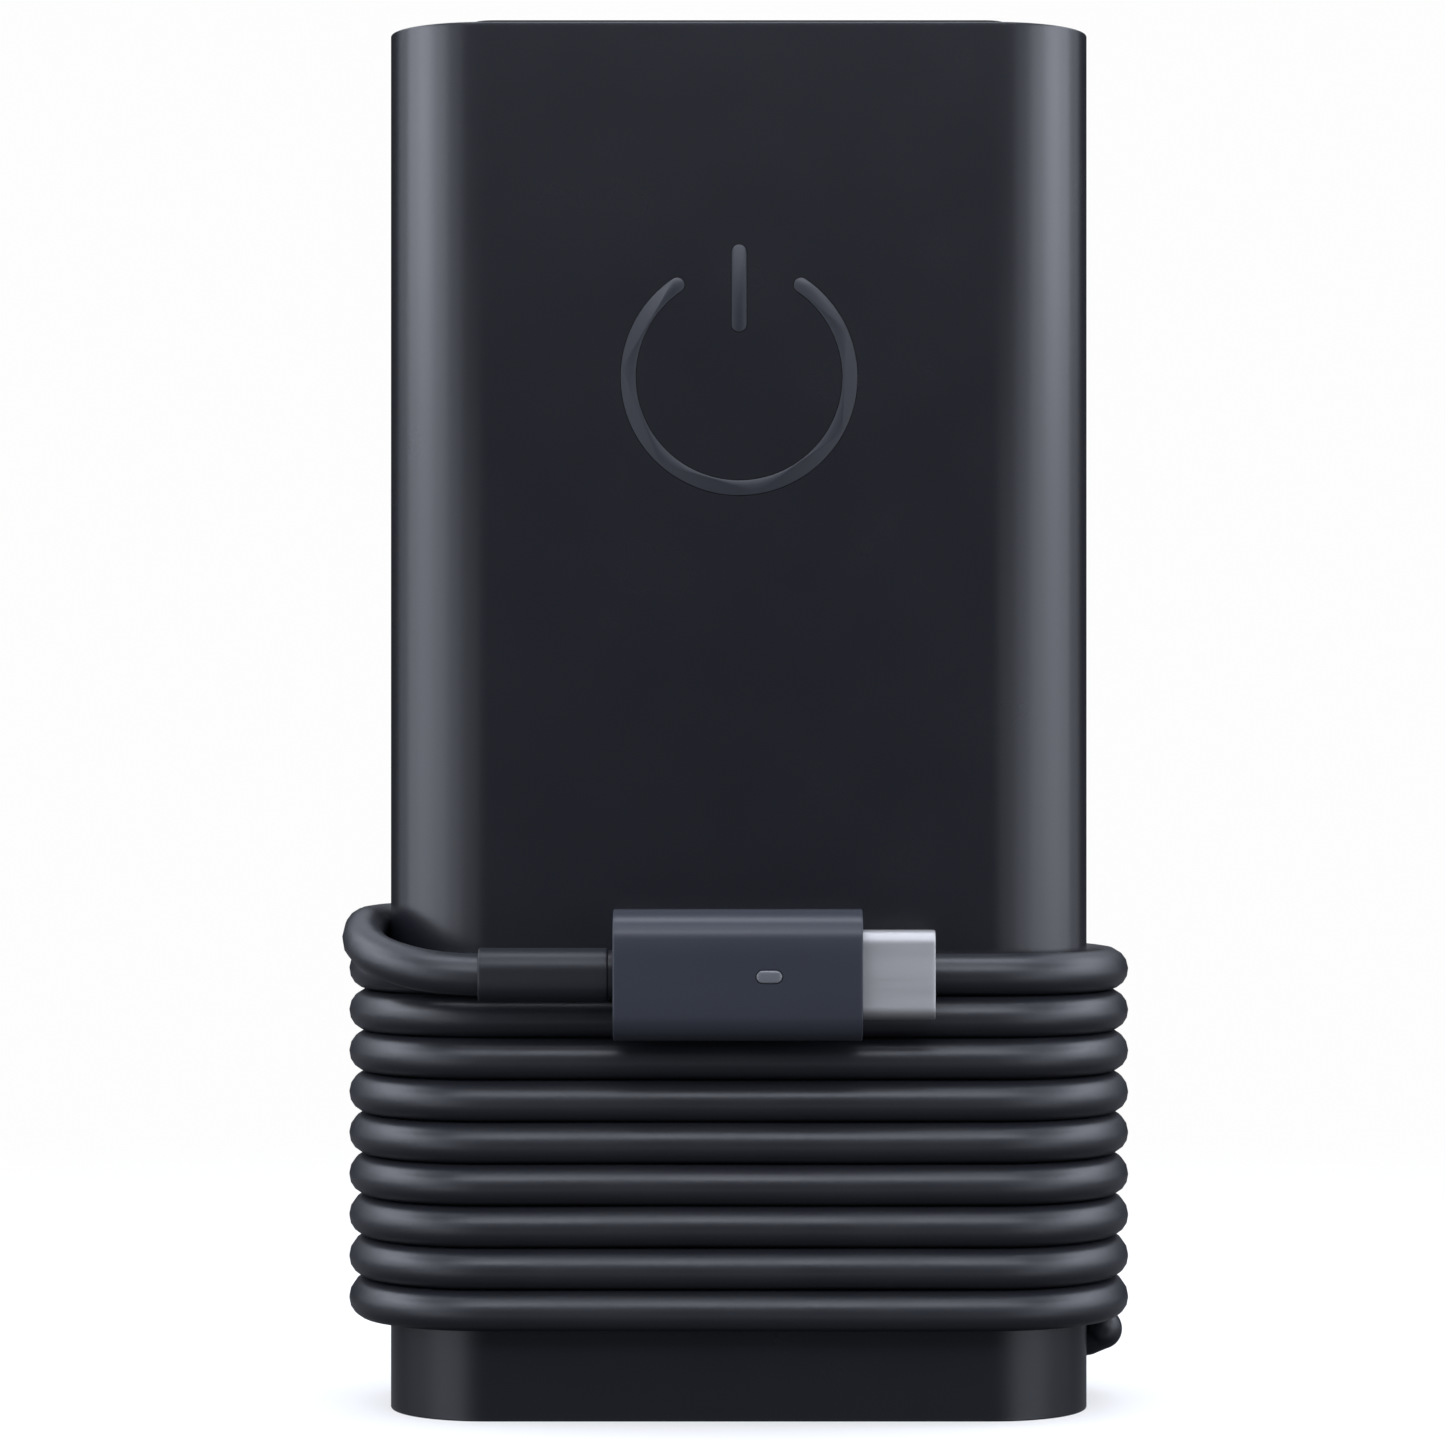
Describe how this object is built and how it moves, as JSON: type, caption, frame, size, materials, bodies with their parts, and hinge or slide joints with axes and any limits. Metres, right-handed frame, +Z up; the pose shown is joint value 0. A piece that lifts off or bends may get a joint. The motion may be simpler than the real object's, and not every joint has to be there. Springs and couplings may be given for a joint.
{
  "type": "laptop power adapter",
  "caption": "Slim rounded mains adapter for a laptop, standing on end, with a mains inlet on top and its output cord and connector wound round the lower body.",
  "frame": {"origin": "middle of the body's foot, on the surface it stands on", "axes": "+Z up along the body towards the mains inlet, -Y out of the front face, +X to the right seen from the front"},
  "size_m": [0.074, 0.0366, 0.1306],
  "materials": {
    "shell_plastic": "satin blue-black moulded plastic",
    "end_plastic": "fine matt black plastic",
    "emblem_plastic": "smooth grey inlay",
    "label_film": "blank matt film",
    "inlet_plastic": "matt black thermoset",
    "nickel_contact": "nickel-plated brass",
    "gold_contact": "gold-plated spring metal",
    "steel_sleeve": "fine brushed stainless steel",
    "circuit_board": "green solder mask over glass fibre",
    "chip_plastic": "moulded black epoxy",
    "opto_plastic": "white moulded epoxy",
    "film_capacitor": "glossy yellow case",
    "disc_coating": "dipped blue epoxy",
    "thermistor_coating": "dipped dark green epoxy",
    "capacitor_sleeve": "shrunk dark blue film",
    "bare_aluminium": "mill-finish sheet",
    "ferrite": "ground dark grey ceramic",
    "copper_wire": "enamelled copper",
    "winding_tape": "yellow polyester tape",
    "bobbin_plastic": "pale moulded nylon",
    "thermal_pad": "soft grey silicone",
    "insulating_film": "thin polyester sheet",
    "wire_insulation": "coloured insulation",
    "cord_jacket": "satin dark grey elastomer",
    "relief_rubber": "matt black elastomer",
    "plug_plastic": "satin blue-grey moulded plastic",
    "lamp_lens": "translucent white lens"
  },
  "bodies": {
    "root": {"front_shell": "shell_plastic", "back_shell": "shell_plastic", "inlet_end_cap": "end_plastic", "front_emblem": "emblem_plastic", "rating_label": "label_film", "inlet_housing": "inlet_plastic", "line_pin": "nickel_contact", "neutral_pin": "nickel_contact", "earth_pin": "nickel_contact", "inlet_wires": "wire_insulation", "main_board": "circuit_board", "mains_fuse": "chip_plastic", "surge_varistor": "disc_coating", "inrush_thermistor": "thermistor_coating", "x_capacitor": "film_capacitor", "choke_core": "ferrite", "choke_windings": "copper_wire", "y_capacitors": "disc_coating", "bridge_rectifier": "chip_plastic", "bulk_capacitor": "capacitor_sleeve", "primary_transistor": "chip_plastic", "primary_heatsink": "bare_aluminium", "transformer_core": "ferrite", "transformer_bobbin": "bobbin_plastic", "transformer_winding": "winding_tape", "primary_controller": "chip_plastic", "optocoupler": "opto_plastic", "rectifier_transistor": "chip_plastic", "secondary_heatsink": "bare_aluminium", "output_inductor": "ferrite", "output_capacitors": "bare_aluminium", "charge_controller": "chip_plastic", "chip_components": "chip_plastic", "thermal_pads": "thermal_pad", "front_insulator": "insulating_film", "back_insulator": "insulating_film", "front_heat_spreader": "bare_aluminium", "back_heat_spreader": "bare_aluminium", "output_wires": "wire_insulation", "cord_gland": "relief_rubber", "cord_lead": "cord_jacket", "cord_winding": "cord_jacket", "cord_end": "cord_jacket", "plug_strain_relief": "relief_rubber", "plug_grip": "plug_plastic", "plug_sleeve": "steel_sleeve", "plug_insulator": "chip_plastic", "plug_contacts": "gold_contact", "plug_board": "circuit_board", "plug_chip": "chip_plastic", "plug_lamp": "opto_plastic", "plug_lens": "lamp_lens"}
  },
  "joints": []
}
